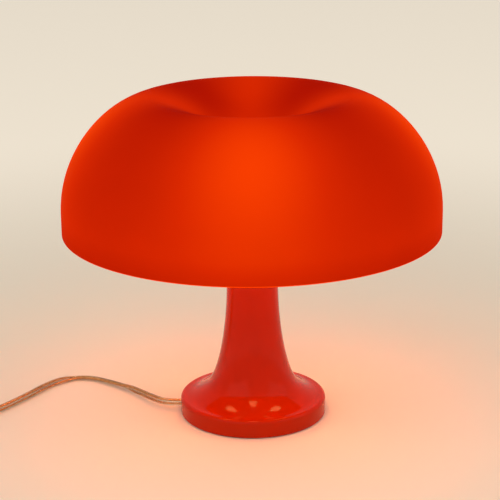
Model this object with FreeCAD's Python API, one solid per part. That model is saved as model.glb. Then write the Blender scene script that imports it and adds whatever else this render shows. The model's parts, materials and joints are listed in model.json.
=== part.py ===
import FreeCAD, Part
import math
import os

from FreeCAD import Vector

# Mushroom table lamp, in millimetres. +Z is up, the origin is on the table under
# the middle of the foot, and -Y is the front. The cord leaves towards -X.

# ---- driving dimensions ----
shade_radius = 160.0
shade_rim_z = 166.4
shade_wall = 3.0
shade_straight = 19.1       # upright part of the wall above the rim
shade_rise = 51.8           # how long the wall keeps going up
ridge_radius = 85.1
ridge_reach = 33.0          # how long the top keeps going level, outwards
lamp_height = 279.3
funnel_reach = 37.0         # the same, inwards over the funnel
funnel_drop = 24.0
hub_radius = 24.0
hub_top = 239.0
spigot_radius = 20.4

foot_radius = 63.2
foot_height = 15.8
foot_gap = 0.6              # between the foot's edge and the table
foot_edge = 3.2             # radius of the foot's upper edge
foot_under_edge = 0.8
foot_reach = 7.2            # how long the foot's top keeps going level, inwards from its edge
flare_middle = (40.9, 24.9) # radius and height of a point on the flare
flare_slope = 39.8          # degrees from level there
flare_below = 6.8           # how long the curve keeps that slope, downwards
flare_above = 13.3          # the same, upwards
flare_top = 121.4
flare_rise = 47.0
stem_radius = 22.0
stem_top_radius = 22.0
stem_top = 195.0
moulding_wall = 3.1
foot_side_wall = 3.0
inner_flat_radius = 56.0    # where the flare's inside leaves the flat

pad_thick = 1.8
pad_radius = 58.5
cover_radius = 60.7
cover_thick = 2.0
cover_gap = 0.3
cover_hole = 10.0
cover_boss = 4.0
ballast_bottom = 6.0
ballast_radius = 57.0
ballast_gap = 0.1
channel_half = 6.0          # cord channel in the ballast
screw_circle = 44.0
cover_screw_angles = (30, 150, 270)
cover_screw_tip = 9.5
screw_radius = 1.5
screw_head_radius = 2.8
screw_head_height = 1.3
thread_gap = 0.05           # between a thread and what it turns in
tapped_top = 10.0
clamp_x = -45.0
clamp_half_long = 5.0
clamp_half_wide = 13.0
clamp_thick = 1.6
clamp_screw_y = 9.0
clamp_screw_tip = 9.0

rod_radius = 5.0
rod_bore = 3.5
rod_bottom = 2.2
rod_top = 250.0
rod_clearance = 0.1
nut_flats = 14.0
upper_nut_height = 4.8
lower_nut_height = 2.4
upper_washer_radius = 9.5
lower_washer_radius = 12.0
bracket_thick = 1.5
bracket_arm_out = 23.5
bracket_arm_half = 9.0
bracket_arm_above = 10.0    # above the lamps' axis
wire_window_radius = 2.5
wire_window_x = 13.0
spacer_radius = 7.0
seat_bottom = 232.0
seat_thick = 2.5
seat_bevel = 1.5
gasket_thick = 1.5
seat_radius = 19.9

lamp_axis_z = 215.0
lamp_count = 4
lamp_names = ("right", "back", "left", "front")
holder_back = bracket_arm_out
holder_mouth = 58.0
holder_radius = 13.0
holder_neck = 8.0
holder_neck_end = 29.5
holder_shoulder_end = 35.5
holder_collar = 1.0         # how far the collar stands out
holder_collar_length = 5.0
holder_floor = 31.0
shell_radius = 7.25         # inside of the holder's thread
sleeve_thick = 0.5
sleeve_span = (37.0, 54.0)
holder_hollow = shell_radius + 1.4
nipple_bore = 3.2
nipple_start = 18.0
nipple_nut_height = 2.5
contact_radius = 3.0
contact_gap = 0.3
bulb_cap_radius = 6.95
bulb_start = 34.0
bulb_button_radius = 2.6
bulb_cone = (5.6, 4.5)      # radius and length of the insulating cone
bulb_cone_step = 0.7
bulb_cap_end = 58.5
bulb_radius = 22.5
bulb_tip = 110.0
bulb_spread = 38.0          # degrees from the axis to where the cone meets the globe

block_low = (-16.5, -8.0, 160.0)
block_high = (-7.0, 8.0, 176.0)
block_screw_y = 4.0
block_screw_radius = 1.8
lead_x = -11.8              # where the lead climbs beside the rod
wire_radius = 1.1

washer_thick = 1.2
knob_washer_radius = 10.0
knob_radius = 13.0
knob_height = 13.0
knob_bevel = (1.6, 2.0)     # inwards and down, at the top edge
knob_under_bevel = 1.0
knob_grips = 8
grip_radius = 2.2
grip_circle = knob_radius + 1.0
insert_radius = 7.5
insert_gap = 1.0            # above and below the rod's end
hub_clearance = 0.4
spigot_depth = 3.5
spigot_wall = 2.0

cord_width = 6.4
cord_thick = 3.2
cord_bevel = 0.8
cord_lying_z = cord_thick / 2
cord_exit_z = 7.6
cord_hole_radius = 3.4

switch_start = -266.0
switch_length = 58.0
switch_y = -22.0
switch_half_width = 11.0
switch_split_z = 6.5
switch_height = 14.0
switch_nose = 0.9           # how much of each round end is cut off flat
switch_wall = 1.6
switch_end_wall = 8.0
switch_edges = (1.5, 2.5)   # bevels of the lower and the upper rim
post_x = 14.5
post_radius = 2.8
post_bore = 1.3
switch_screw_radius = 1.25
switch_screw_head = (2.2, 0.3, 1.5)     # radius, bottom and top
switch_screw_tip = 10.0
rocker_length = 20.0
rocker_width = 10.0
rocker_tilt = 8.0           # degrees, either side of level
rocker_pivot_z = 9.8
rocker_span = (-0.5, 6.5)   # bottom and top, from the pivot
rocker_dish = 24.0
rocker_dish_z = 4.2         # deepest point of the dish, above the pivot
rocker_pin_radius = 1.5
window_gap = (0.8, 0.5)     # round the rocker, along and across
contact_size = (3.0, 3.0, 3.0)
contact_places = (-9.0, 6.0)
contact_y = -4.5

coil_radius = 48.5
coil_pitch = 7.0
coil_turns = 2.5            # in each of the two layers
coil_centre = Vector(-326.5, 45.0, 0.0)
coil_top_z = 5.3

plug_back_y = 80.0
plug_x = -374.0
plug_z = 6.85
relief_length = 20.0
plug_length = 36.0
shoulder_length = 20.0
relief_rings = 5
relief_ring_pitch = 3.2
relief_groove = 1.2
relief_core = (3.6, 2.2)    # half width and half height inside the grooves
pin_radius = 2.0
pin_shank = 1.5             # radius under the sleeve and inside the plug
pin_length = 19.0
pin_root = 8.0              # held in the plug
pin_round = 1.2
pin_spacing = 18.6
pin_sleeve_length = 10.0    # insulation on the root end of each pin
pin_sleeve_radius = 1.8
plug_half_height = 6.85

# The cord from the foot to the switch, from the switch to the coil, and from the coil to the plug.
run_route = [
    (-foot_radius, 0.0, cord_exit_z), (-76.6, 0.0, cord_exit_z), (-89.0, 8.0, 6.8), (-98.0, 24.0, 5.4),
    (-118.0, 48.0, 3.6), (-137.0, 65.0, 2.4), (-150.5, 71.5, 1.9), (-165.0, 71.5, 1.9),
    (-177.5, 62.5, 2.3), (-189.0, 46.0, 2.8), (-203.0, 23.0, 3.2), (-220.0, -2.0, 3.2),
    (-233.5, -15.5, 3.8), (-250.0, switch_y, switch_split_z), (switch_start, switch_y, switch_split_z)]
inner_tail_route = [
    (switch_start - switch_length, switch_y, switch_split_z), (-337.0, switch_y, switch_split_z),
    (-351.0, -18.0, 3.2), (-363.5, -8.0, 2.0), (-372.0, 6.0, 1.7), (-375.0, 22.0, cord_lying_z),
    (-375.0, 38.6, cord_lying_z)]
outer_tail_route = [
    (-375.0, 51.4, coil_top_z), (-375.0, 61.0, coil_top_z), (plug_x, 71.0, plug_z),
    (plug_x, plug_back_y, plug_z)]

lamp_angles = [360 / lamp_count * n for n in range(lamp_count)]

X_AXIS = Vector(1, 0, 0)
Y_AXIS = Vector(0, 1, 0)
Z_AXIS = Vector(0, 0, 1)
ORIGIN = Vector(0, 0, 0)


# ---- small helpers ----
def cylinder(radius, bottom, top, x=0.0, y=0.0):
    return Part.makeCylinder(radius, top - bottom, Vector(x, y, bottom))


def ring(outer, inner, bottom, top):
    return cylinder(outer, bottom, top).cut(cylinder(inner, bottom - 1, top + 1))


def box(low, high):
    size = Vector(*high) - Vector(*low)
    return Part.makeBox(size.x, size.y, size.z, Vector(*low))


def line(a, b):
    return Part.LineSegment(Vector(a[0], 0, a[1]), Vector(b[0], 0, b[1])).toShape()


def biarc(start, start_dir, end, end_dir):
    """Two arcs that leave start and reach end in the given directions and meet smoothly."""
    across = end - start
    sharp = 1 - start_dir.dot(end_dir)
    lean = across.dot(start_dir + end_dir)
    if sharp < 1e-9:
        reach = across.dot(across) / (2 * lean)
    else:
        reach = (math.sqrt(lean * lean + 2 * sharp * across.dot(across)) - lean) / (2 * sharp)
    first_pole, second_pole = start + start_dir * reach, end - end_dir * reach
    meet = (first_pole + second_pole) * 0.5

    def one(a, pole, b):
        middle = (a + b) * 0.5
        rise = pole - middle
        half = a.distanceToPoint(b) / 2
        angle = math.atan2(rise.Length, half)
        return Part.Arc(a, middle + rise.normalize() * (half * math.tan(angle / 2)), b).toShape()

    return [one(start, first_pole, meet), one(meet, second_pole, end)]


def curve(*poles):
    """A drawn curve through four poles in the XZ plane, as four tangent arcs."""
    bezier = Part.BezierCurve()
    bezier.setPoles([Vector(r, 0, z) for r, z in poles])
    stations = [(bezier.value(t), bezier.tangent(t)[0].normalize()) for t in (0, 0.5, 1)]
    edges = []
    for (a, a_dir), (b, b_dir) in zip(stations, stations[1:]):
        edges += biarc(a, a_dir, b, b_dir)
    return edges


def arc(a, middle, b):
    return Part.Arc(*[Vector(r, 0, z) for r, z in (a, middle, b)]).toShape()


def corner(a, corner_point, b):
    """Quarter round from a to b inside the square corner between them."""
    centre = (a[0] + b[0] - corner_point[0], a[1] + b[1] - corner_point[1])
    middle = [c + (p - c) * math.sqrt(0.5) for p, c in zip(corner_point, centre)]
    return arc(a, middle, b)


def turned(edges):
    """Solid of revolution about Z from a closed chain of lines and curves in the XZ plane."""
    chain = []
    for edge in edges:
        chain += edge if isinstance(edge, list) else [edge]
    return Part.Face(Part.Wire(chain)).revolve(ORIGIN, Z_AXIS, 360)


def turned_points(points):
    closed = list(points) + [points[0]]
    return turned([line(a, b) for a, b in zip(closed, closed[1:])])


def laid_out(shape, angle):
    """Takes a piece turned about Z to a lamp's own axis, which runs out from the stem."""
    shape = shape.copy()
    shape.rotate(ORIGIN, Y_AXIS, 90)
    shape.translate(Vector(0, 0, lamp_axis_z))
    shape.rotate(ORIGIN, Z_AXIS, angle)
    return shape


def around(shape, angles, x=0.0):
    """Copies of a piece on a circle round the lamp's axis."""
    copies = []
    for angle in angles:
        copy = shape.copy()
        copy.translate(Vector(x, 0, 0))
        copy.rotate(ORIGIN, Z_AXIS, angle)
        copies.append(copy)
    return copies


def joined(shapes):
    return shapes[0].multiFuse(shapes[1:]).removeSplitter() if len(shapes) > 1 else shapes[0]


def hexagon(flats, bottom, top):
    points = [Vector(flats / math.sqrt(3), 0, bottom)]
    for step in range(1, 7):
        turn = math.radians(60 * step)
        points.append(Vector(math.cos(turn), math.sin(turn), 0) * points[0].x + Vector(0, 0, bottom))
    return Part.Face(Part.makePolygon(points)).extrude(Vector(0, 0, top - bottom))


# ---- cord: straight runs joined by tangent arcs ----
def routed_path(route, name):
    """Wire through the route, with each corner rounded as far as its runs allow."""
    points = [Vector(*p) for p in route]
    edges = []
    start = points[0]
    radii = []
    for before, here, after in zip(points, points[1:], points[2:]):
        back = (before - here).normalize()
        ahead = (after - here).normalize()
        half_turn = (math.pi - back.getAngle(ahead)) / 2
        cut = 0.45 * min(before.distanceToPoint(here), here.distanceToPoint(after))
        radius = cut / math.tan(half_turn)
        radii.append(radius)
        first, last = here + back * cut, here + ahead * cut
        inward = (back + ahead).normalize()
        middle = here + inward * (radius / math.cos(half_turn) - radius)
        edges.append(Part.LineSegment(start, first).toShape())
        edges.append(Part.Arc(first, middle, last).toShape())
        start = last
    edges.append(Part.LineSegment(start, points[-1]).toShape())
    path = Part.Wire(edges)
    if radii:
        print(name, "length", round(path.Length, 1), "tightest bend", round(min(radii), 1))
    return path


def flat_section(start, heading):
    """Outline of the flat cord, lying level: flat above and below, with bevelled edges."""
    heading = Vector(heading).normalize()
    side = Z_AXIS.cross(heading).normalize()
    up = heading.cross(side)
    w, h = cord_width / 2, cord_thick / 2
    flat = w - cord_bevel
    points = [(w, 0), (flat, h), (-flat, h), (-w, 0), (-flat, -h), (flat, -h), (w, 0)]
    return Part.makePolygon([start + side * a + up * b for a, b in points])


def swept(path, section, level=False):
    shell = Part.BRepOffsetAPI.MakePipeShell(path)
    if level:
        shell.setBiNormalMode(Z_AXIS)
    shell.add(section)
    shell.build()
    shell.makeSolid()
    solid = shell.shape()
    return solid if solid.Volume > 0 else solid.reversed()


def flat_cord(path, name, level=False):
    first = path.OrderedEdges[0]
    start = path.OrderedVertexes[0].Point
    heading = first.tangentAt(first.FirstParameter)
    if first.valueAt(first.FirstParameter).distanceToPoint(start) > 1e-6:
        heading = first.tangentAt(first.LastParameter) * -1
    section = flat_section(start, heading)
    solid = swept(path, section, level)
    expected = Part.Face(section).Area * path.Length
    print(name, "volume / (section x length)", round(solid.Volume / expected, 4), "valid", solid.isValid())
    return solid


def thin_wire(route):
    """Insulated wire inside the lamp, six-sided like the strand bundle that it holds."""
    path = routed_path(route, "wire")
    start = Vector(*route[0])
    heading = (Vector(*route[1]) - start).normalize()
    side = heading.cross(Y_AXIS if abs(heading.y) < 0.9 else X_AXIS).normalize()
    up = heading.cross(side)
    points = []
    for step in range(7):
        turn = math.radians(60 * step)
        points.append(start + (side * math.cos(turn) + up * math.sin(turn)) * wire_radius)
    return swept(path, Part.makePolygon(points))


# ---- foot and stem ----
def flare(depth, start_radius, start_z):
    """The foot's top and the flare, from the level start up to the stem, at a depth under the outer face."""
    slope = math.radians(flare_slope)
    inwards, upwards = -math.cos(slope), math.sin(slope)
    middle = (flare_middle[0] - depth * upwards, flare_middle[1] + depth * inwards)
    stem = stem_radius - depth

    def along(length):
        return (middle[0] + length * inwards, middle[1] + length * upwards)

    low = curve((start_radius, start_z), (start_radius - foot_reach, start_z), along(-flare_below), middle)
    high = curve(middle, along(flare_above), (stem, flare_top - flare_rise), (stem, flare_top))
    return low + high


def foot_stem():
    wall = moulding_wall
    inner_flat = foot_height - wall - ballast_gap
    top_edge = foot_height - foot_edge
    outer_edge = foot_radius - foot_edge
    under_edge = foot_radius - foot_under_edge
    under_top = foot_gap + foot_under_edge
    inside = foot_radius - foot_side_wall
    rebate = cover_radius + cover_gap
    rebate_z = pad_thick + cover_thick
    bore = stem_radius - wall
    bore_top = stem_top_radius - wall
    body = turned([
        line((rebate, foot_gap), (under_edge, foot_gap)),
        corner((under_edge, foot_gap), (foot_radius, foot_gap), (foot_radius, under_top)),
        line((foot_radius, under_top), (foot_radius, top_edge)),
        corner((foot_radius, top_edge), (foot_radius, foot_height), (outer_edge, foot_height)),
        flare(0.0, outer_edge, foot_height),
        line((stem_radius, flare_top), (stem_top_radius, stem_top)),
        line((stem_top_radius, stem_top), (bore_top, stem_top)),
        line((bore_top, stem_top), (bore, flare_top)),
        flare(wall, inner_flat_radius, inner_flat)[::-1],
        line((inner_flat_radius, inner_flat), (inside, inner_flat)),
        line((inside, inner_flat), (inside, rebate_z)),
        line((inside, rebate_z), (rebate, rebate_z)),
        line((rebate, rebate_z), (rebate, foot_gap))])
    start = Vector(-foot_radius - 1, 0, cord_exit_z)
    return body.cut(Part.makeCylinder(cord_hole_radius, 3 * foot_side_wall, start, X_AXIS))


def csk_screw(head_z, tip_z):
    shank_start = head_z + screw_head_height
    head = Part.makeCone(screw_head_radius, screw_radius, screw_head_height, Vector(0, 0, head_z))
    return head.fuse(cylinder(screw_radius, shank_start, tip_z)).removeSplitter()


def csk_hole(head_z, top_z):
    wide, narrow = screw_head_radius + thread_gap, screw_radius + thread_gap
    sink = Part.makeCone(wide, narrow, screw_head_height, Vector(0, 0, head_z))
    return sink.fuse(cylinder(narrow, head_z, top_z))


def build_foot(nodes):
    cover_top = pad_thick + cover_thick
    ballast_top = foot_height - moulding_wall - ballast_gap
    above = foot_height

    nodes["foot_stem"] = foot_stem()

    ballast = ring(ballast_radius, rod_radius + cover_gap, ballast_bottom, ballast_top)
    channel = box((-ballast_radius - 1, -channel_half, 0), (lead_x, channel_half, above))
    ballast = ballast.cut(channel).cut(cylinder(channel_half, 0, above, lead_x))
    tapped = cylinder(screw_radius + thread_gap, 0, tapped_top)
    for hole in around(tapped, cover_screw_angles, screw_circle):
        ballast = ballast.cut(hole)
    for y in (-clamp_screw_y, clamp_screw_y):
        ballast = ballast.cut(cylinder(screw_radius + thread_gap, 0, tapped_top, clamp_x, y))
    nodes["ballast"] = ballast

    nodes["foot_pad"] = cylinder(pad_radius, 0, pad_thick)

    cover = ring(cover_radius, cover_hole, pad_thick, cover_top)
    boss = cylinder(cover_boss, pad_thick, ballast_bottom)
    cover = joined([cover] + around(boss, cover_screw_angles, screw_circle))
    for hole in around(csk_hole(pad_thick, above), cover_screw_angles, screw_circle):
        cover = cover.cut(hole)
    nodes["base_cover"] = cover
    cover_screw = csk_screw(pad_thick, cover_screw_tip)
    nodes["base_screws"] = Part.Compound(around(cover_screw, cover_screw_angles, screw_circle))

    clamp_bottom = ballast_bottom - clamp_thick
    clamp = box((clamp_x - clamp_half_long, -clamp_half_wide, clamp_bottom),
                (clamp_x + clamp_half_long, clamp_half_wide, ballast_bottom))
    screws = []
    for y in (-clamp_screw_y, clamp_screw_y):
        hole, screw = csk_hole(clamp_bottom, above), csk_screw(clamp_bottom, clamp_screw_tip)
        for piece in (hole, screw):
            piece.translate(Vector(clamp_x, y, 0))
        clamp = clamp.cut(hole)
        screws.append(screw)
    nodes["cord_clamp"] = clamp
    nodes["clamp_screws"] = Part.Compound(screws)


def nut(flats, bore, bottom, top):
    return hexagon(flats, bottom, top).cut(cylinder(bore, bottom - 1, top + 1))


def build_column(nodes):
    clear = rod_radius + thread_gap
    washer_bottom = ballast_bottom - washer_thick
    plate_top = stem_top + bracket_thick
    nut_bottom = plate_top + washer_thick
    nut_top = nut_bottom + upper_nut_height
    seat_top = seat_bottom + seat_thick

    nodes["tie_rod"] = ring(rod_radius, rod_bore, rod_bottom, rod_top)
    nodes["lower_washer"] = ring(lower_washer_radius, clear, washer_bottom, ballast_bottom)
    nodes["lower_nut"] = nut(nut_flats, clear, washer_bottom - lower_nut_height, washer_bottom)
    nodes["upper_washer"] = ring(upper_washer_radius, clear, plate_top, nut_bottom)
    nodes["upper_nut"] = nut(nut_flats, clear, nut_bottom, nut_top)
    nodes["spacer_tube"] = ring(spacer_radius, rod_radius + rod_clearance, nut_top, seat_bottom)

    nodes["shade_seat"] = turned_points([
        (clear, seat_bottom), (seat_radius - seat_bevel, seat_bottom),
        (seat_radius, seat_bottom + seat_bevel), (seat_radius, seat_top), (clear, seat_top)])
    nodes["seat_gasket"] = ring(seat_radius - 1, rod_radius + 1, seat_top, seat_top + gasket_thick)


# ---- lamps ----
def lamp_bracket():
    """Pressed plate with an upturned arm for each lampholder."""
    top = stem_top + bracket_thick
    half, out = bracket_arm_half, bracket_arm_out
    plate = cylinder(stem_top_radius - 0.5, stem_top, top)
    arm = box((0, -half, stem_top), (out, half, top))
    upright = box((out - bracket_thick, -half, stem_top), (out, half, lamp_axis_z + bracket_arm_above))
    eye_radius = rod_radius + rod_clearance
    eye_start = Vector(out - 2 * bracket_thick, 0, lamp_axis_z)
    eye = Part.makeCylinder(eye_radius, 2 * bracket_thick, eye_start, X_AXIS)
    window = cylinder(wire_window_radius, 0, top + 1, wire_window_x)
    shape = joined([plate] + around(arm, lamp_angles) + around(upright, lamp_angles))
    for cut in around(eye, lamp_angles) + around(window, lamp_angles):
        shape = shape.cut(cut)
    return shape.cut(cylinder(eye_radius, 0, top + 1))


def lampholder():
    """Holder body about Z: neck, shoulder and skirt with a collar, hollow for the thread."""
    bore = rod_radius + rod_clearance
    collar = holder_radius + holder_collar
    collar_start = holder_mouth - holder_collar_length
    return turned_points([
        (bore, holder_back), (holder_neck, holder_back), (holder_neck, holder_neck_end),
        (holder_radius, holder_shoulder_end), (holder_radius, collar_start),
        (collar, collar_start + holder_collar), (collar, holder_mouth - holder_collar),
        (holder_radius, holder_mouth), (holder_hollow, holder_mouth), (holder_hollow, holder_floor),
        (bore, holder_floor)])


def bulb_globe():
    """Opal globe about Z, with the short cone that stands on its cap."""
    centre = bulb_tip - bulb_radius
    spread = math.radians(bulb_spread)
    meet = (bulb_radius * math.sin(spread), centre - bulb_radius * math.cos(spread))
    wide = (math.pi + spread) / 2
    equator = (bulb_radius * math.sin(wide), centre - bulb_radius * math.cos(wide))
    return turned([
        line((0, bulb_cap_end), (bulb_cap_radius, bulb_cap_end)),
        line((bulb_cap_radius, bulb_cap_end), meet),
        arc(meet, equator, (0, bulb_tip)),
        line((0, bulb_tip), (0, bulb_cap_end))])


def bulb_cap():
    """Screw cap about Z: contact button, insulating cone and barrel."""
    cone_radius, cone_length = bulb_cone
    cone_end = bulb_start + cone_length
    return turned_points([
        (0, bulb_start), (bulb_button_radius, bulb_start), (cone_radius, cone_end),
        (bulb_cap_radius, cone_end + bulb_cone_step), (bulb_cap_radius, bulb_cap_end), (0, bulb_cap_end)])


def build_lamps(nodes):
    nodes["lamp_bracket"] = lamp_bracket()
    arm_inside = bracket_arm_out - bracket_thick
    nipple = ring(rod_radius, nipple_bore, nipple_start, holder_floor)
    nipple_nut = nut(nut_flats, rod_radius + thread_gap, arm_inside - nipple_nut_height, arm_inside)
    contact = cylinder(contact_radius, holder_floor, bulb_start - contact_gap)
    sleeve = ring(shell_radius + sleeve_thick, shell_radius, *sleeve_span)
    groups = {"holder_nipples": nipple, "holder_nuts": nipple_nut, "centre_contacts": contact}
    for name, piece in groups.items():
        nodes[name] = Part.Compound([laid_out(piece, angle) for angle in lamp_angles])
    singles = {"lampholder": lampholder(), "thread_sleeve": sleeve, "bulb_globe": bulb_globe(),
               "bulb_cap": bulb_cap()}
    for lamp, angle in zip(lamp_names, lamp_angles):
        for name, piece in singles.items():
            nodes[name + "_" + lamp] = laid_out(piece, angle)


def build_wiring(nodes):
    """Terminal block under the plate, the lead that comes up to it and one wire to each lamp."""
    block = box(block_low, block_high)
    screw_z = (block_low[2] + block_high[2]) / 2
    for y in (-block_screw_y, block_screw_y):
        start = Vector(block_low[0] - 1, y, screw_z)
        block = block.cut(Part.makeCylinder(block_screw_radius, 3, start, X_AXIS))
    nodes["terminal_block"] = block

    lead_route = [(-foot_radius, 0, cord_exit_z), (lead_x - 1.2, 0, cord_exit_z), (lead_x, 0, 45.0),
                  (lead_x, 0, block_low[2])]
    nodes["mains_lead"] = flat_cord(routed_path(lead_route, "mains_lead"), "mains_lead")

    # Each wire leaves the block's top, goes round the rod and up through its window in the plate.
    rise = [(wire_window_x, 0, stem_top - 2), (wire_window_x, 0, lamp_axis_z - 1),
            (holder_back + 1.5, 0, lamp_axis_z)]
    starts = [(-9.0, 0.5), (-12.0, 5.5), (-15.0, 0.0), (-12.0, -5.5)]
    detours = [[(-7.0, 8.0, 184.5), (4.0, 9.0, 188.0)], [(-8.5, 11.0, 186.5)], [(-14.0, 0.0, 187.0)],
               [(-8.5, -11.0, 186.5)]]
    block_top = block_high[2]
    wires = []
    for start, detour, angle in zip(starts, detours, lamp_angles):
        turn = FreeCAD.Rotation(Z_AXIS, angle)
        climb = [tuple(turn.multVec(Vector(*point))) for point in rise]
        wires.append(thin_wire([start + (block_top,), start + (block_top + 5.5,)] + detour + climb))
    nodes["lamp_wires"] = Part.Compound(wires)


# ---- shade and knob ----
def shade():
    wall = shade_wall
    straight_top = shade_rim_z + shade_straight
    rim_top = shade_rim_z + wall / 2
    inside = shade_radius - wall
    under = lamp_height - wall
    hub_bottom = hub_top - wall
    hub_outside = hub_radius + wall
    hub_bore = rod_radius + hub_clearance
    spigot_outside = spigot_radius + spigot_wall
    spigot_end = hub_bottom - spigot_depth
    return turned([
        arc((inside, rim_top), (shade_radius - wall / 2, shade_rim_z), (shade_radius, rim_top)),
        line((shade_radius, rim_top), (shade_radius, straight_top)),
        curve((shade_radius, straight_top), (shade_radius, straight_top + shade_rise),
              (ridge_radius + ridge_reach, lamp_height), (ridge_radius, lamp_height)),
        curve((ridge_radius, lamp_height), (ridge_radius - funnel_reach, lamp_height),
              (hub_radius, hub_top + funnel_drop), (hub_radius, hub_top)),
        line((hub_radius, hub_top), (hub_bore, hub_top)),
        line((hub_bore, hub_top), (hub_bore, hub_bottom)),
        line((hub_bore, hub_bottom), (spigot_radius, hub_bottom)),
        line((spigot_radius, hub_bottom), (spigot_radius, spigot_end)),
        line((spigot_radius, spigot_end), (spigot_outside, spigot_end)),
        line((spigot_outside, spigot_end), (spigot_outside, hub_bottom)),
        line((spigot_outside, hub_bottom), (hub_outside, hub_bottom)),
        curve((hub_outside, hub_bottom), (hub_outside, hub_top + funnel_drop - wall),
              (ridge_radius - funnel_reach + 1, under), (ridge_radius, under)),
        curve((ridge_radius, under), (ridge_radius + ridge_reach - 1, under),
              (inside, straight_top + shade_rise - 1), (inside, straight_top)),
        line((inside, straight_top), (inside, rim_top))])


def build_shade(nodes):
    nodes["shade"] = shade()
    washer_top = hub_top + washer_thick
    thread = rod_radius + thread_gap
    nodes["knob_washer"] = ring(knob_washer_radius, thread, hub_top, washer_top)
    nodes["knob_insert"] = ring(insert_radius, thread, washer_top, rod_top - insert_gap)

    top = washer_top + knob_height
    bevel_in, bevel_down = knob_bevel
    pocket_top = rod_top + insert_gap
    knob = turned_points([
        (insert_radius, washer_top), (knob_radius - knob_under_bevel, washer_top),
        (knob_radius, washer_top + knob_under_bevel), (knob_radius, top - bevel_down),
        (knob_radius - bevel_in, top), (0, top), (0, pocket_top), (insert_radius, pocket_top)])
    grip = cylinder(grip_radius, washer_top - 1, top + 1)
    grip_angles = [360 / knob_grips * n for n in range(knob_grips)]
    nodes["shade_knob"] = knob.cut(Part.Compound(around(grip, grip_angles, grip_circle)))


# ---- cord, switch and plug ----
def coil_point(turn):
    """Place on the coil after so many turns. The spiral climbs a layer at its inner end,
    steps out past that climb in the next half turn, and then winds out over the lower layer."""
    climb_end = coil_turns + 0.5
    step_end = coil_turns + 1.0
    height = cord_lying_z
    if turn <= climb_end:
        radius = coil_radius - coil_pitch * turn
    elif turn >= step_end:
        radius = coil_radius - coil_pitch * (2 * coil_turns - turn)
    else:
        inner = coil_radius - coil_pitch * climb_end
        outer = coil_radius - coil_pitch * (coil_turns - 1.0)
        radius = inner + (outer - inner) * eased((turn - climb_end) / 0.5)
    height += (coil_top_z - cord_lying_z) * eased((turn - coil_turns) / 0.5)
    angle = math.pi - 2 * math.pi * turn
    return coil_centre + Vector(math.cos(angle) * radius, math.sin(angle) * radius, height)


def eased(share):
    share = min(1.0, max(0.0, share))
    return share * share * (3 - 2 * share)


def cord_coil():
    total = 2 * coil_turns
    step = 1e-4
    count = int(round(total * 4))
    stations = []
    for n in range(count + 1):
        turn = total * n / count
        ahead = coil_point(min(turn + step, total)) - coil_point(max(turn - step, 0.0))
        stations.append((coil_point(turn), ahead.normalize()))
    stations[0] = (stations[0][0], Y_AXIS)
    stations[-1] = (stations[-1][0], Y_AXIS)
    edges = [Part.LineSegment(stations[0][0] - Y_AXIS * cord_width, stations[0][0]).toShape()]
    for (a, a_dir), (b, b_dir) in zip(stations, stations[1:]):
        edges += biarc(a, a_dir, b, b_dir)
    edges.append(Part.LineSegment(stations[-1][0], stations[-1][0] + Y_AXIS * cord_width).toShape())
    path = Part.Wire(edges)
    print("cord_coil length", round(path.Length, 1))
    report_gap(total)
    return flat_cord(path, "cord_coil")


def report_gap(total):
    """Least gap between turns: beside each other by the width, above each other by the thickness."""
    per_turn = 72
    samples = [coil_point(n / per_turn) for n in range(int(total * per_turn) + 1)]
    least = 1e9
    for i, a in enumerate(samples):
        for b in samples[i + per_turn // 2:]:
            apart = b - a
            sideways = math.hypot(apart.x, apart.y) - cord_width
            upwards = abs(apart.z) - cord_thick
            least = min(least, max(sideways, upwards))
    print("coil least gap", round(least, 2))


def build_cord(nodes):
    routes = {"cord_run": run_route, "cord_inner_tail": inner_tail_route, "cord_outer_tail": outer_tail_route}
    for name, route in routes.items():
        nodes[name] = flat_cord(routed_path(route, name), name, True)
    nodes["cord_coil"] = cord_coil()


def pill(length, half_width, bottom, top):
    """Long housing shape with round ends."""
    r = half_width
    a = length / 2 - r
    outline = Part.Wire([
        Part.LineSegment(Vector(-a, r, bottom), Vector(a, r, bottom)).toShape(),
        Part.Arc(Vector(a, r, bottom), Vector(a + r, 0, bottom), Vector(a, -r, bottom)).toShape(),
        Part.LineSegment(Vector(a, -r, bottom), Vector(-a, -r, bottom)).toShape(),
        Part.Arc(Vector(-a, -r, bottom), Vector(-a - r, 0, bottom), Vector(-a, r, bottom)).toShape()])
    return Part.Face(outline).extrude(Vector(0, 0, top - bottom))


def switch_half(bottom, top, outer_z, bevel):
    """Half of the housing, its outer rim bevelled and its ends cut flat where the cord goes in."""
    half = pill(switch_length + 2 * switch_nose, switch_half_width, bottom, top)
    rim = [e for e in half.Edges if all(abs(v.Z - outer_z) < 0.01 for v in e.Vertexes)]
    reach = switch_length / 2
    wide = 2 * switch_half_width
    return half.makeChamfer(bevel, rim).common(box((-reach, -wide, bottom - 1), (reach, wide, top + 1)))


def switch_rocker():
    """Hollowed key on a cross pin at its middle, with its +X end down."""
    half_long, half_wide = rocker_length / 2, rocker_width / 2
    low, high = rocker_pivot_z + rocker_span[0], rocker_pivot_z + rocker_span[1]
    key = box((-half_long, -half_wide, low), (half_long, half_wide, high))
    dish_axis = Vector(0, -half_wide - 1, rocker_pivot_z + rocker_dish_z + rocker_dish)
    dish = Part.makeCylinder(rocker_dish, rocker_width + 2, dish_axis, Y_AXIS)
    pivot = Vector(0, -half_wide, rocker_pivot_z)
    pin = Part.makeCylinder(rocker_pin_radius, rocker_width, pivot, Y_AXIS)
    rocker = key.cut(dish).fuse(pin).removeSplitter()
    rocker.rotate(pivot, Y_AXIS, rocker_tilt)
    return rocker


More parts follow.
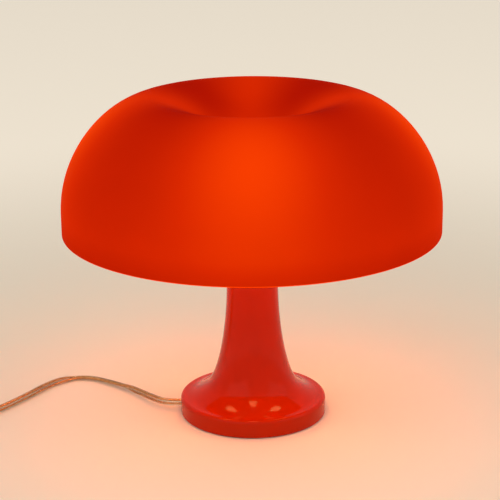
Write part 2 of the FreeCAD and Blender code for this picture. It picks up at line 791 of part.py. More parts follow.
def build_switch(nodes):
    wall = switch_wall
    long = switch_length - 2 * switch_end_wall
    cavity = pill(long, switch_half_width - wall, wall, switch_height - wall)
    half_long, half_wide = rocker_length / 2 + window_gap[0], rocker_width / 2 + window_gap[1]
    window = box((-half_long, -half_wide, switch_split_z), (half_long, half_wide, switch_height + 1))
    lower_edge, upper_edge = switch_edges
    lower = switch_half(0, switch_split_z, 0, lower_edge).cut(cavity)
    upper = switch_half(switch_split_z, switch_height, switch_height, upper_edge).cut(cavity).cut(window)
    head_radius, head_bottom, head_top = switch_screw_head
    screws = []
    for x in (-post_x, post_x):
        lower = lower.fuse(cylinder(post_radius, wall / 2, switch_split_z, x))
        lower = lower.cut(cylinder(post_bore, -1, switch_split_z + 1, x))
        lower = lower.cut(cylinder(head_radius + 2 * thread_gap, -1, head_top, x))
        upper = upper.fuse(cylinder(post_radius, switch_split_z, switch_height - wall / 2, x))
        upper = upper.cut(cylinder(post_bore, switch_split_z - 1, switch_screw_tip + 1, x))
        head = cylinder(head_radius, head_bottom, head_top, x)
        screws.append(head.fuse(cylinder(switch_screw_radius, head_top, switch_screw_tip, x)))
    contacts = []
    for x in contact_places:
        low = Vector(x, contact_y, wall)
        contacts.append(box(low, low + Vector(*contact_size)))

    pieces = {"switch_lower": lower, "switch_upper": upper, "switch_screws": Part.Compound(screws),
              "switch_contacts": Part.Compound(contacts), "switch_rocker": switch_rocker()}
    for name, piece in pieces.items():
        piece.translate(Vector(switch_start - switch_length / 2, switch_y, 0))
        nodes[name] = piece


def plug_outline(y, half_width, half_height, bevel):
    """One cross-section of the plug: a flat hexagon with short bevels, at a given distance along it."""
    w, h = half_width, half_height
    points = [(-w, 0), (-w + bevel, h), (w - bevel, h), (w, 0), (w - bevel, -h), (-w + bevel, -h), (-w, 0)]
    return Part.makePolygon([Vector(plug_x + px, y, plug_z + pz) for px, pz in points])


def plug_housing(body_start, face):
    """Ribbed strain relief, shoulders that widen, and the gripped front."""
    neck = body_start + shoulder_length * 0.45
    shoulder_end = body_start + shoulder_length
    relief = Part.makeLoft([
        plug_outline(plug_back_y, 3.9, 2.6, 1.2), plug_outline(body_start, 6.5, 4.6, 2.0)], True, True)
    shoulders = Part.makeLoft([
        plug_outline(body_start, 7.0, 5.0, 2.2), plug_outline(neck, 11.5, 6.4, 3.0),
        plug_outline(shoulder_end, 16.0, plug_half_height, 3.6)], True, True)
    front = Part.makeLoft([
        plug_outline(shoulder_end, 16.0, plug_half_height, 3.6),
        plug_outline(face, 17.6, plug_half_height, 3.8)], True, True)
    body = relief.fuse([shoulders, front]).removeSplitter()
    wide = relief_length / 2
    core_wide, core_high = relief_core
    for n in range(relief_rings):
        y = plug_back_y + relief_ring_pitch * (n + 1)
        groove = box((plug_x - wide, y, plug_z - wide), (plug_x + wide, y + relief_groove, plug_z + wide))
        core = box((plug_x - core_wide, y - 1, plug_z - core_high),
                   (plug_x + core_wide, y + relief_groove + 1, plug_z + core_high))
        body = body.cut(groove.cut(core))
    return body


def along_pin(side, radius, start, end):
    """Round piece on one pin's axis."""
    centre = Vector(plug_x + side * pin_spacing / 2, start, plug_z)
    return Part.makeCylinder(radius, end - start, centre, Y_AXIS)


def build_plug(nodes):
    body_start = plug_back_y + relief_length
    face = body_start + plug_length
    root, sleeve_end, tip_end = face - pin_root, face + pin_sleeve_length, face + pin_length
    body = plug_housing(body_start, face)
    pins, sleeves = [], []
    for side in (-1, 1):
        body = body.cut(along_pin(side, pin_shank, root, face))
        tip = along_pin(side, pin_radius, sleeve_end, tip_end)
        rounded = [e for e in tip.Edges if min(v.Y for v in e.Vertexes) > tip_end - 0.01]
        shank = along_pin(side, pin_shank, root, sleeve_end)
        pins.append(shank.fuse(tip.makeFillet(pin_round, rounded)).removeSplitter())
        sleeve = along_pin(side, pin_sleeve_radius, face, sleeve_end)
        sleeves.append(sleeve.cut(along_pin(side, pin_shank, face, sleeve_end)))
    nodes["plug_body"] = body
    nodes["plug_pins"] = Part.Compound(pins)
    nodes["pin_sleeves"] = Part.Compound(sleeves)


def main():
    os.makedirs("parts", exist_ok=True)
    nodes = {}
    for build in (build_foot, build_column, build_lamps, build_wiring, build_shade,
                  build_cord, build_switch, build_plug):
        build(nodes)
    for name, shape in nodes.items():
        if not shape.isValid():
            print("not valid:", name)
        shape.exportStep("parts/" + name + ".step")
    print(len(nodes), "nodes")


main()
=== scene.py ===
import json
import math

import bpy
from mathutils import Matrix, Vector


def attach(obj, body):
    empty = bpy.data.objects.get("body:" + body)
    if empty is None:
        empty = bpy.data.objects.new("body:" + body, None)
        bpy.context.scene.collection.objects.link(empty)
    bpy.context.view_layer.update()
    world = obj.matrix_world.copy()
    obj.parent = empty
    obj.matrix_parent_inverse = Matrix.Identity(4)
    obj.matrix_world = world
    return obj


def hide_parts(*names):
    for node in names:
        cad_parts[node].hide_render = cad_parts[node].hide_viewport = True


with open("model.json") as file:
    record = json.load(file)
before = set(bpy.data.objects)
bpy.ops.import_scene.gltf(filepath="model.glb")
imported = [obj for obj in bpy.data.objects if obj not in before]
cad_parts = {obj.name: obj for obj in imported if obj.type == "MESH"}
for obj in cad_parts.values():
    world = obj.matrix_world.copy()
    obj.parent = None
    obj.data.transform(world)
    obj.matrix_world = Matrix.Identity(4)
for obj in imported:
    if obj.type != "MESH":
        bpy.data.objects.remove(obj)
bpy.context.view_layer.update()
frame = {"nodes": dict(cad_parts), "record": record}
nodes = frame["nodes"]
mm = 0.001
lampNames = ("right", "back", "left", "front")
lampSides = ((1, 0), (0, 1), (-1, 0), (0, -1))
bodyOf = {name: body for body, group in frame["record"]["behaviour"]["bodies"].items() for name in group}
slotOf = {row["node"]: row["material_slot"] for row in frame["record"]["subparts"]}


def hexColour(text):
    channels = [int(text[n:n + 2], 16) / 255 for n in (1, 3, 5)]
    linear = [c / 12.92 if c <= 0.04045 else ((c + 0.055) / 1.055) ** 2.4 for c in channels]
    return (*linear, 1.0)


def addNode(tree, kind, inputs=None, **settings):
    node = tree.nodes.new(kind)
    for name, value in settings.items():
        setattr(node, name, value)
    for name, value in (inputs or {}).items():
        if isinstance(value, bpy.types.NodeSocket):
            tree.links.new(value, node.inputs[name])
        else:
            node.inputs[name].default_value = value
    return node


def eased(share):
    share = min(1.0, max(0.0, share))
    return share * share * (3 - 2 * share)


photoView = {
    "distance": 1.2424,       # metres in front of the lamp's axis
    "height": 0.5334,
    "pitchDown": 17.292,      # degrees, like the next two
    "turnLeft": 0.0816,
    "rollRight": 0.441,
    "focalLength": 110.17,    # mm
    "sensorWidth": 36,
    "reach": (0.05, 50),      # metres, the nearest and farthest that it sees
}


def addCamera():
    view = photoView
    data = bpy.data.cameras.new("photoCamera")
    data.sensor_width = view["sensorWidth"]
    data.lens = view["focalLength"]
    data.clip_start, data.clip_end = view["reach"]
    camera = bpy.data.objects.new("photoCamera", data)
    bpy.context.scene.collection.objects.link(camera)
    turn = Matrix.Rotation(math.radians(view["turnLeft"]), 4, "Z")
    pitch = Matrix.Rotation(math.radians(90 - view["pitchDown"]), 4, "X")
    roll = Matrix.Rotation(-math.radians(view["rollRight"]), 4, "Z")
    camera.matrix_world = Matrix.Translation((0, -view["distance"], view["height"])) @ turn @ pitch @ roll
    bpy.context.scene.camera = camera
    print("camera placed")


cord = {
    "width": 6.4,             # mm, like the other sizes here
    "lobe": 1.6,              # radius of each half of the twin sleeve
    "web": 0.8,               # half the thickness where the halves meet
    "lobePoints": 13,
    "coreRadius": 0.64,
    "coreWires": 6,           # strands that show on each core
    "wirePoints": 3,          # that draw each strand
    "coreLay": 13.0,          # length of one turn of the strands
    "coreGroove": 0.13,
    "step": 1.5,              # between cross-sections
    "curveSteps": 12,         # from one point of the route to the next, before they are spaced evenly
    "curveOrder": 3,
    "smoothUnder": 50,        # degrees
    "runLength": 0.277,       # metres
    "tailLength": 1.34,
}
# in mm, from the foot to the switch, then from the switch to the plug; the run lies up to 2.3 mm beside
# the solid's route, to follow the photo more closely
runRoute = [
    (-63.2, 0, 7.6), (-76.6, 0, 7.6), (-88.5, 11.5, 6.8), (-98, 25, 5.4), (-118, 49, 3.8), (-137, 64.5, 2.7),
    (-150.5, 72, 2.4), (-165, 71.5, 2.4), (-177.5, 62.5, 2.9), (-189, 47.5, 3.5), (-203, 23.5, 3.7),
    (-220, -1, 3.7), (-233.5, -15.5, 4.0), (-250, -22, 6.5), (-266, -22, 6.5)]
innerTailRoute = [
    (-324, -22, 6.5), (-337, -22, 6.5), (-351, -18, 3.2), (-363.5, -8, 2.0), (-372, 6, 1.7), (-375, 22, 1.6)]
outerTailRoute = [(-375, 61, 5.3), (-374, 71, 6.85), (-374, 80, 6.85)]
# degrees that the run is turned on edge, where it has come so far along X
runTwist = [
    (-63, 90), (-104, 88), (-122, 20), (-160, 18), (-184, -62), (-206, -88), (-222, -90), (-256, -180)]
coil = {
    "centre": (-326.5, 45.0),
    "radius": 48.5,
    "pitch": 7.0,
    "turns": 2.5,             # in each of the two layers
    "climb": 0.5,             # of a turn to climb a layer, and as much again to step outwards
    "lowZ": 1.6,
    "highZ": 5.3,
    "pointsPerTurn": 16,
}


def coilPoint(turn):
    # the lower layer winds inwards, and the upper one out again
    c = coil
    climbEnd = c["turns"] + c["climb"]
    stepEnd = climbEnd + c["climb"]
    if turn <= climbEnd:
        radius = c["radius"] - c["pitch"] * turn
    elif turn >= stepEnd:
        radius = c["radius"] - c["pitch"] * (2 * c["turns"] - turn)
    else:
        inner = c["radius"] - c["pitch"] * climbEnd
        outer = c["radius"] - c["pitch"] * (2 * c["turns"] - stepEnd)
        radius = inner + (outer - inner) * eased((turn - climbEnd) / c["climb"])
    height = c["lowZ"] + (c["highZ"] - c["lowZ"]) * eased((turn - c["turns"]) / c["climb"])
    angle = math.pi - 2 * math.pi * turn
    return (c["centre"][0] + radius * math.cos(angle), c["centre"][1] + radius * math.sin(angle), height)


def tailRoute():
    count = int(2 * coil["turns"] * coil["pointsPerTurn"])
    turns = [coilPoint(n / coil["pointsPerTurn"]) for n in range(count + 1)]
    return innerTailRoute + turns + outerTailRoute


def splinePoints(name, route):
    # the smooth line of the cord, read from a NURBS curve through the route
    data = bpy.data.curves.new(name, "CURVE")
    data.dimensions = "3D"
    data.resolution_u = cord["curveSteps"]
    spline = data.splines.new("NURBS")
    spline.points.add(len(route) - 1)
    for point, place in zip(spline.points, route):
        point.co = (*[x * mm for x in place], 1)
    spline.order_u = cord["curveOrder"]
    spline.use_endpoint_u = True
    holder = bpy.data.objects.new(name, data)
    bpy.context.scene.collection.objects.link(holder)
    mesh = bpy.data.meshes.new_from_object(holder)
    fine = [v.co.copy() for v in mesh.vertices]
    bpy.data.objects.remove(holder)
    return evenly(fine, cord["step"] * mm)


def evenly(line, step):
    lengths = [0.0]
    for a, b in zip(line, line[1:]):
        lengths.append(lengths[-1] + (b - a).length)
    count = max(2, round(lengths[-1] / step))
    points, at = [], 0
    for n in range(count + 1):
        want = lengths[-1] * n / count
        while at < len(line) - 2 and lengths[at + 1] < want:
            at += 1
        span = lengths[at + 1] - lengths[at]
        points.append(line[at].lerp(line[at + 1], (want - lengths[at]) / span if span else 0))
    return points


def crossPlaces(points, twist=None):
    # a place, a side and an up direction for each cross-section, turned by the cord's twist
    found = []
    for n, point in enumerate(points):
        ahead = (points[min(n + 1, len(points) - 1)] - points[max(n - 1, 0)]).normalized()
        side = Vector((0, 0, 1)).cross(ahead).normalized()
        up = ahead.cross(side)
        turn = math.radians(twist(point)) if twist else 0.0
        found.append((point, side * math.cos(turn) + up * math.sin(turn),
                      up * math.cos(turn) - side * math.sin(turn)))
    return found


def twistAt(point):
    x = point.x / mm
    for (a, fromAngle), (b, toAngle) in zip(runTwist, runTwist[1:]):
        if x >= b:
            return fromAngle + (toAngle - fromAngle) * eased((a - x) / (a - b))
    return runTwist[-1][1]


def twinSection():
    # one lobe's arc starts and stops where it runs into the web
    r, half = cord["lobe"], cord["web"]
    last = math.pi - math.asin(half / r)
    count = cord["lobePoints"]
    right = []
    for n in range(count):
        angle = -last + 2 * last * n / (count - 1)
        right.append((r + r * math.cos(angle), r * math.sin(angle)))
    return [(x * mm, y * mm) for x, y in right] + [(-x * mm, -y * mm) for x, y in right]


def coreSection(turn):
    # strands as shallow lobes round the core, turned a little further at each step
    points = []
    count = cord["coreWires"] * cord["wirePoints"]
    for n in range(count):
        angle = 2 * math.pi * n / count
        radius = cord["coreRadius"] - (0 if n % cord["wirePoints"] else cord["coreGroove"])
        points.append((radius * math.cos(angle + turn) * mm, radius * math.sin(angle + turn) * mm))
    return points


def onlySelect(piece):
    bpy.ops.object.select_all(action="DESELECT")
    piece.select_set(True)
    bpy.context.view_layer.objects.active = piece


def sweep(name, places, sectionAt, offset=(0.0, 0.0)):
    vertices, faces = [], []
    for n, (point, side, up) in enumerate(places):
        section = sectionAt(n)
        for x, y in section:
            vertices.append(point + side * (x + offset[0]) + up * (y + offset[1]))
    ringSize = len(section)
    for n in range(len(places) - 1):
        for k in range(ringSize):
            a, b = n * ringSize + k, n * ringSize + (k + 1) % ringSize
            faces.append((a, b, b + ringSize, a + ringSize))
    faces.append(tuple(range(ringSize))[::-1])
    faces.append(tuple(range(len(vertices) - ringSize, len(vertices))))
    mesh = bpy.data.meshes.new(name)
    mesh.from_pydata(vertices, [], faces)
    mesh.update()
    piece = bpy.data.objects.new(name, mesh)
    bpy.context.scene.collection.objects.link(piece)
    onlySelect(piece)
    bpy.ops.object.mode_set(mode="EDIT")
    bpy.ops.mesh.select_all(action="SELECT")
    bpy.ops.mesh.normals_make_consistent(inside=False)
    bpy.ops.object.mode_set(mode="OBJECT")
    bpy.ops.object.shade_smooth_by_angle(angle=math.radians(cord["smoothUnder"]))
    return piece


def twinCord(name, route, twist=None):
    # the clear sleeve, with a stranded copper core in each half
    points = splinePoints(name + "Line", route)
    places = crossPlaces(points, twist)
    outline = twinSection()
    sleeve = sweep(name + "Sleeve", places, lambda n: outline)
    perStep = 2 * math.pi * cord["step"] / cord["coreLay"]
    cores = []
    for label, side in (("A", -1), ("B", 1)):
        core = sweep(name + "Core" + label, places, lambda n: coreSection(n * perStep * side),
                     (side * cord["lobe"] * mm, 0))
        cores.append(core)
    return sleeve, cores, points


lathe = {
    "steps": 168,             # round the lamp's axis
    "resolution": 22,         # along each curve of an outline
    "weld": 0.01,             # mm, points closer than this become one
    "smoothUnder": 35,        # degrees
}


def turnedPiece(name, outline, closed=True, resolution=lathe["resolution"], steps=lathe["steps"]):
    # an outline in mm of (radius, height) with curve handles or None, spun about the lamp's axis
    bpy.ops.object.select_all(action="DESELECT")
    bpy.ops.curve.primitive_bezier_curve_add(location=(0, 0, 0))
    piece = bpy.context.object
    piece.name = name
    spline = piece.data.splines[0]
    spline.bezier_points.add(len(outline) - 2)
    spline.use_cyclic_u = closed
    spline.resolution_u = resolution
    for node, (place, arriving, leaving) in zip(spline.bezier_points, outline):
        node.co = (place[0] * mm, 0, place[1] * mm)
        node.handle_left_type = "FREE" if arriving else "VECTOR"
        node.handle_right_type = "FREE" if leaving else "VECTOR"
        if arriving:
            node.handle_left = (arriving[0] * mm, 0, arriving[1] * mm)
        if leaving:
            node.handle_right = (leaving[0] * mm, 0, leaving[1] * mm)
    bpy.ops.object.convert(target="MESH")
    onlySelect(piece)
    bpy.ops.object.mode_set(mode="EDIT")
    bpy.ops.mesh.select_all(action="SELECT")
    bpy.ops.mesh.spin(steps=steps, angle=2 * math.pi, center=(0, 0, 0), axis=(0, 0, 1))
    bpy.ops.mesh.select_all(action="SELECT")
    bpy.ops.mesh.remove_doubles(threshold=lathe["weld"] * mm)
    bpy.ops.mesh.normals_make_consistent(inside=False)
    bpy.ops.object.mode_set(mode="OBJECT")
    bpy.ops.object.shade_smooth_by_angle(angle=math.radians(lathe["smoothUnder"]))
    return piece


def quarter(start, corner, end):
    # handles that round a square corner into a quarter circle
    share = 0.5523            # of the way to the corner
    leaving = [a + (c - a) * share for a, c in zip(start, corner)]
    arriving = [b + (c - b) * share for b, c in zip(end, corner)]
    return leaving, arriving


def evenHandles(start, end):
    # handles that keep a stretch straight but give it even rings, for a thread
    return ([a + (b - a) / 3 for a, b in zip(start, end)], [b + (a - b) / 3 for a, b in zip(start, end)])


def cutThread(piece, span, innermost, pitch, depth):
    # moves the rings between two heights in or out along a helix, fading over the first and last turn
    low, high = span
    for vertex in piece.data.vertices:
        x, y, z = (c / mm for c in vertex.co)
        radius = math.hypot(x, y)
        if low < z < high and radius > innermost:
            phase = 2 * math.pi * z / pitch - math.atan2(y, x)
            fade = eased((z - low) / pitch) * eased((high - z) / pitch)
            vertex.co.xy *= 1 - depth * fade * (1 - math.cos(phase)) / 2 / radius


def paint(piece, material):
    piece.data.materials.clear()
    piece.data.materials.append(material)


def dress(piece, name, finishes):
    # the piece stands for that solid: it rides with it and has its finish
    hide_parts(name)
    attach(piece, bodyOf[name])
    paint(piece, finishes[finishOfSlot[slotOf[name]]])


softEdges = {                 # mm, how wide the rounded edges of the moulded and pressed pieces are
    "switch_upper": 0.6, "switch_lower": 0.5, "switch_rocker": 0.25, "plug_body": 0.6, "shade_knob": 0.6,
    "lamp_bracket": 0.25, "upper_nut": 0.4, "holder_nuts": 0.3,
    **{"lampholder_" + name: 0.5 for name in lampNames},
}
softening = {
    "weld": 0.002,            # mm, points closer than this become one
    "flatUnder": 1,           # degrees between facets that become one face, like the next two
    "sharpOver": 40,
    "smoothUnder": 35,
    "segments": 3,
}


def pieceName(node):
    first, *rest = node.split("_")
    return first + "".join(word.title() for word in rest)


def soften(name, width):
    # a copy of the solid with its edges rounded, as a mould or a press leaves them
    s = softening
    piece = bpy.data.objects.new(pieceName(name), nodes[name].data.copy())
    bpy.context.scene.collection.objects.link(piece)
    onlySelect(piece)
    bpy.ops.object.mode_set(mode="EDIT")
    bpy.ops.mesh.select_all(action="SELECT")
    bpy.ops.mesh.remove_doubles(threshold=s["weld"] * mm)
    bpy.ops.mesh.dissolve_limited(angle_limit=math.radians(s["flatUnder"]))
    bpy.ops.object.mode_set(mode="OBJECT")
    bevel = piece.modifiers.new("softEdges", "BEVEL")
    bevel.width, bevel.segments = width * mm, s["segments"]
    bevel.limit_method, bevel.angle_limit = "ANGLE", math.radians(s["sharpOver"])
    bpy.ops.object.modifier_apply(modifier=bevel.name)
    bpy.ops.object.shade_smooth_by_angle(angle=math.radians(s["smoothUnder"]))
    return piece


def buildSoftEdges(finishes):
    softened = {}
    for name, width in softEdges.items():
        softened[name] = soften(name, width)
        dress(softened[name], name, finishes)
    print("edges softened")
    return softened


lampFitting = {
    "axisZ": 215.0,           # mm, like the rest, which is measured outwards from the column
    "capStart": 34.0,
    "button": 2.6,
    "cone": (5.6, 38.5),      # radius and place where the insulating cone ends
    "capRadius": 6.95,
    "barrelStart": 39.2,
    "capEnd": 58.5,
    "threadEnd": 54.0,
    "pitch": 2.82,            # the small household screw thread
    "threadDepth": 0.55,
    "sleeveSpan": (37.0, 54.0),
    "sleeveInside": 7.25,
    "sleeveOutside": 7.75,
    "sleeveDepth": -0.5,      # outwards
    "rings": 56,              # along the thread
    "steps": 56,              # round it
}


def laidOut(pattern, name, angle):
    # a copy of an upright piece, laid level so that it points out from the column
    piece = pattern.copy()
    piece.data = pattern.data.copy()
    piece.name = name
    bpy.context.scene.collection.objects.link(piece)
    lift = Matrix.Translation((0, 0, lampFitting["axisZ"] * mm))
    piece.matrix_world = lift @ Matrix.Rotation(angle, 4, "Z") @ Matrix.Rotation(math.pi / 2, 4, "Y")
    onlySelect(piece)
    bpy.ops.object.transform_apply(location=True, rotation=True, scale=True)
    return piece


def buildThreads(finishes):
    f = lampFitting
    radius, start, threadEnd, capEnd = f["capRadius"], f["barrelStart"], f["threadEnd"], f["capEnd"]
    leaving, arriving = evenHandles((radius, start), (radius, threadEnd))
    cap = turnedPiece("capPattern", [
        ((0, f["capStart"]), None, None),
        ((f["button"], f["capStart"]), None, None),
        (f["cone"], None, None),
        ((radius, start), None, leaving),
        ((radius, threadEnd), arriving, None),
        ((radius, capEnd), None, None),
        ((0, capEnd), None, None),
    ], closed=False, resolution=f["rings"], steps=f["steps"])
    cutThread(cap, (start, threadEnd), f["cone"][0], f["pitch"], f["threadDepth"])

    inside, outside = f["sleeveInside"], f["sleeveOutside"]
    low, high = f["sleeveSpan"]
    up, upEnd = evenHandles((inside, low), (inside, high))
    down, downEnd = evenHandles((outside, high), (outside, low))
    sleeve = turnedPiece("sleevePattern", [
        ((inside, low), None, up), ((inside, high), upEnd, None),
        ((outside, high), None, down), ((outside, low), downEnd, None),
    ], resolution=f["rings"], steps=f["steps"])
    cutThread(sleeve, (low, high), 0, f["pitch"], f["sleeveDepth"])

    for turn, lamp in enumerate(lampNames):
        for pattern, node in ((cap, "bulb_cap_" + lamp), (sleeve, "thread_sleeve_" + lamp)):
            dress(laidOut(pattern, pieceName(node), math.pi / 2 * turn), node, finishes)
    for pattern in (cap, sleeve):
        bpy.data.objects.remove(pattern)
    print("lamp threads made")


tieRod = {
    "radius": 5.0,            # mm, like the rest
    "bore": 3.5,
    "bottom": 2.2,
    "top": 250.0,
    "chamfer": 0.5,
    "threadStart": 226.0,
    "pitch": 1.0,
    "threadDepth": 0.45,
    "rings": 170,             # along the thread
    "steps": 40,              # round it
}


def buildTieRod(finishes):
    r = tieRod
    radius, bore, top, bottom, cut = (r[k] for k in ("radius", "bore", "top", "bottom", "chamfer"))
    leaving, arriving = evenHandles((radius, r["threadStart"]), (radius, top - cut))
    rod = turnedPiece("tieRod", [
        ((bore, bottom), None, None),
        ((radius - cut, bottom), None, None),
        ((radius, bottom + cut), None, None),
        ((radius, r["threadStart"]), None, leaving),
        ((radius, top - cut), arriving, None),
        ((radius - cut, top), None, None),
        ((bore, top), None, None),
    ], resolution=r["rings"], steps=r["steps"])
    cutThread(rod, (r["threadStart"], top), (bore + radius) / 2, r["pitch"], r["threadDepth"])
    dress(rod, "tie_rod", finishes)
    print("tie rod made")


shadeShape = {
    "radius": 160.0,          # mm, like the rest
    "rimZ": 166.4,
    "wall": 3.0,
    "straight": 19.1,         # upright part above the rim
    "rise": 51.8,             # how long the wall keeps going up
    "ridge": 85.1,
    "ridgeReach": 33.0,       # how long the top keeps going level, outwards
    "top": 279.3,
    "funnelReach": 14.0,      # and inwards; the photo shows a sharper turn here than the solid has
    "funnelDrop": 24.0,
    "innerShorter": 1.0,      # how much less far the inner face keeps going
    "hub": 24.0,
    "hubTop": 239.0,
    "hubBore": 5.4,
    "hubEdge": 1.2,
    "spigot": 20.4,
    "spigotWall": 2.0,
    "spigotDepth": 3.5,
}


def buildShade(finishes):
    s = shadeShape
    wall, radius, ridge, top = (s[k] for k in ("wall", "radius", "ridge", "top"))
    hub, hubTop, bore, rimZ = (s[k] for k in ("hub", "hubTop", "hubBore", "rimZ"))
    half, less = wall / 2, s["innerShorter"]
    straightTop = rimZ + s["straight"]
    inside, under, underHub = radius - wall, top - wall, hubTop - wall
    rimTop, rimMid = rimZ + half, radius - half
    spigotEnd = underHub - s["spigotDepth"]
    spigotOut, hubOut = s["spigot"] + s["spigotWall"], hub + wall
    innerRim, outerRim = quarter((inside, rimTop), (inside, rimZ), (rimMid, rimZ))
    innerSide, outerSide = quarter((rimMid, rimZ), (radius, rimZ), (radius, rimTop))
    outline = [
        ((inside, rimTop), None, innerRim),
        ((rimMid, rimZ), outerRim, innerSide),
        ((radius, rimTop), outerSide, None),
        ((radius, straightTop), None, (radius, straightTop + s["rise"])),
        ((ridge, top), (ridge + s["ridgeReach"], top), (ridge - s["funnelReach"], top)),
        ((hub, hubTop), (hub, hubTop + s["funnelDrop"]), None),
        ((bore + s["hubEdge"], hubTop), None, None),
        ((bore, hubTop - s["hubEdge"]), None, None),
        ((bore, underHub), None, None),
        ((s["spigot"], underHub), None, None),
        ((s["spigot"], spigotEnd), None, None),
        ((spigotOut, spigotEnd), None, None),
        ((spigotOut, underHub), None, None),
        ((hubOut, underHub), None, (hubOut, hubTop + s["funnelDrop"] - wall)),
        ((ridge, under), (ridge - s["funnelReach"] + less, under), (ridge + s["ridgeReach"] - less, under)),
        ((inside, straightTop), (inside, straightTop + s["rise"] - less), None),
    ]
    piece = turnedPiece("shadeShell", outline)
    dress(piece, "shade", finishes)
    print("shade made")


footShape = {
    "radius": 63.2,           # mm, like the rest
    "height": 15.8,
    "gap": 0.6,               # between the edge and the table
    "edge": 3.2,
    "underEdge": 0.8,
    "reach": 7.2,             # how long the top keeps going level, inwards from the edge
    "flareMiddle": (40.9, 24.9),
    "flareSlope": 39.8,       # degrees from level there
    "flareBelow": 6.8,        # how long the curve keeps that slope, down and up
    "flareAbove": 13.3,
    "flareTop": 121.4,
    "flareRise": 47.0,
    "stem": 22.0,
    "stemTop": 22.0,
    "topZ": 195.0,
    "lip": 0.8,
    "wall": 3.1,
    "sideWall": 3.0,
    "rebate": 61.0,
    "rebateZ": 3.8,
    "innerFlat": 12.6,
    "innerFlatRadius": 56.0,
    "cordHole": 3.4,
    "cordHoleZ": 7.6,
    "drillLength": 12.0,
    "drillSides": 48,
}


def alongFlare(depth, length):
    # a point that far along the slope from the flare's middle, at a depth under the outer face
    slope = math.radians(footShape["flareSlope"])
    radius, height = footShape["flareMiddle"]
    return (radius - depth * math.sin(slope) - length * math.cos(slope),
            height - depth * math.cos(slope) + length * math.sin(slope))


def buildFoot(finishes):
    s = footShape
    radius, height, edge, gap, low = (s[k] for k in ("radius", "height", "edge", "gap", "underEdge"))
    stem, stemTop, wall, reach = (s[k] for k in ("stem", "stemTop", "wall", "reach"))
    below, above, innerFlat, innerStart = (s[k] for k in (
        "flareBelow", "flareAbove", "innerFlat", "innerFlatRadius"))
    underA, underB = quarter((radius - low, gap), (radius, gap), (radius, gap + low))
    edgeA, edgeB = quarter((radius, height - edge), (radius, height), (radius - edge, height))
    flareLow = s["flareTop"] - s["flareRise"]
    outline = [
        ((s["rebate"], gap), None, None),
        ((radius - low, gap), None, underA),
        ((radius, gap + low), underB, None),
        ((radius, height - edge), None, edgeA),
        ((radius - edge, height), edgeB, (radius - edge - reach, height)),
        (alongFlare(0, 0), alongFlare(0, -below), alongFlare(0, above)),
        ((stem, s["flareTop"]), (stem, flareLow), None),
        ((stemTop, s["topZ"] - s["lip"]), None, None),
        ((stemTop - s["lip"], s["topZ"]), None, None),
        ((stemTop - wall, s["topZ"]), None, None),
        ((stem - wall, s["flareTop"]), None, (stem - wall, flareLow)),
        (alongFlare(wall, 0), alongFlare(wall, above), alongFlare(wall, -below)),
        ((innerStart, innerFlat), (innerStart - reach, innerFlat), None),
        ((radius - s["sideWall"], innerFlat), None, None),
        ((radius - s["sideWall"], s["rebateZ"]), None, None),
        ((s["rebate"], s["rebateZ"]), None, None),
    ]
    piece = turnedPiece("footAndStem", outline)
    bpy.ops.object.select_all(action="DESELECT")
    bpy.ops.mesh.primitive_cylinder_add(
        vertices=s["drillSides"], radius=s["cordHole"] * mm, depth=s["drillLength"] * mm,
        location=(-radius * mm, 0, s["cordHoleZ"] * mm), rotation=(0, math.pi / 2, 0))
    drill = bpy.context.object
    onlySelect(piece)
    cut = piece.modifiers.new("cordHole", "BOOLEAN")
    cut.operation, cut.solver, cut.object = "DIFFERENCE", "EXACT", drill
    bpy.ops.object.modifier_apply(modifier=cut.name)
    bpy.data.objects.remove(drill)
    dress(piece, "foot_stem", finishes)
    print("foot made")


def buildCords(finishes, softened):
    run, runCores, runLine = twinCord("run", runRoute, twistAt)
    tail, tailCores, tailLine = twinCord("tail", tailRoute())
    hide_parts("cord_run")
    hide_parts("cord_inner_tail", "cord_coil", "cord_outer_tail")
    for piece in (run, tail):
        paint(piece, finishes["clearSleeve"])
    for core in runCores + tailCores:
        paint(core, finishes["copper"])
    for piece in (run, tail, *runCores, *tailCores):
        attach(piece, "root")
    print("cords made")


def newMaterial(name, settings):
    # a material with one Principled shader, its plain values set on the shader's own sockets
    material = bpy.data.materials.new(name)
    material.use_nodes = True
    tree = material.node_tree
    shader = tree.nodes["Principled BSDF"]
    for socket, value in settings.items():
        shader.inputs[socket].default_value = value
    where = addNode(tree, "ShaderNodeTexCoord").outputs["Object"]
    return material, tree, shader, where


noiseRange = (0.3, 0.7)       # nearly all of a noise texture's values lie in it


def speckled(tree, where, size, low, high, detail=3.0):
    # noise of a real size in mm, spread between two values
    noise = addNode(tree, "ShaderNodeTexNoise", {"Vector": where, "Scale": 1 / (size * mm), "Detail": detail})
    return addNode(tree, "ShaderNodeMapRange", {
        "Value": noise.outputs["Fac"], "From Min": noiseRange[0], "From Max": noiseRange[1],
        "To Min": low, "To Max": high}).outputs["Result"]


# painted glow and painted shade on the shade: emission that stands in for the lamps' light through its wall
paintedShadeGlow = {
    "bulbOut": 0.0875,        # metres, the middle of each globe
    "bulbZ": 0.215,
    "gain": 0.00237,          # on the light that each lamp sends straight through the wall
    "base": -0.709,           # these three paint shade and light beside what the room's light and the inside already give: an offset, darker on faces turned up, lighter higher up
    "upward": -0.628,
    "climb": 3.7,
    "wholeFrom": 60.0,        # of that light, where the glow is whole
    "colours": ((0.0, "#000000"), (0.15, "#6c0800"), (0.4, "#aa2300"), (0.65, "#d33b00"), (1.0, "#ff5200")),
}


